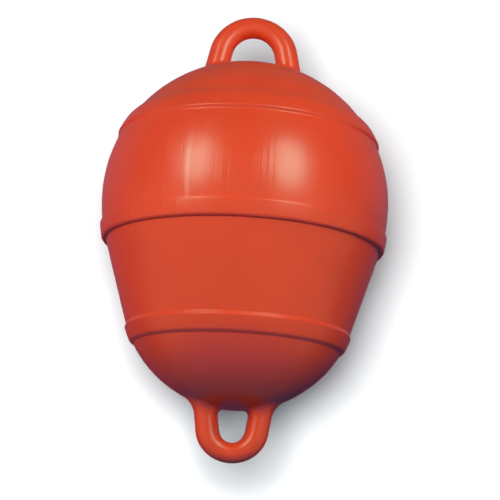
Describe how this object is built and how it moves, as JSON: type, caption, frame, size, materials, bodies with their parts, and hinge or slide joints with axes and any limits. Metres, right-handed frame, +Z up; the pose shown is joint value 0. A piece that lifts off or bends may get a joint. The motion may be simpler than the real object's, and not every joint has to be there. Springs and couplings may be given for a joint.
{
  "type": "mooring buoy",
  "caption": "Rigid moulded mooring float: a round top and a smaller round bottom joined by a cone, with raised bands and a rope eye at each end.",
  "frame": {"origin": "centre of the lower eye's bow, on the axis of the float", "axes": "+Z up along the axis of the float, from the lower eye to the upper eye; +X across both eyes, which lie in the plane of X and Z; +Y away from the viewer of the picture"},
  "size_m": [0.2998, 0.2998, 0.4783],
  "materials": {
    "orange_plastic": "moulded orange-red polyethylene, soft gloss"
  },
  "bodies": {
    "root": {"buoy_body": "orange_plastic"}
  },
  "joints": []
}
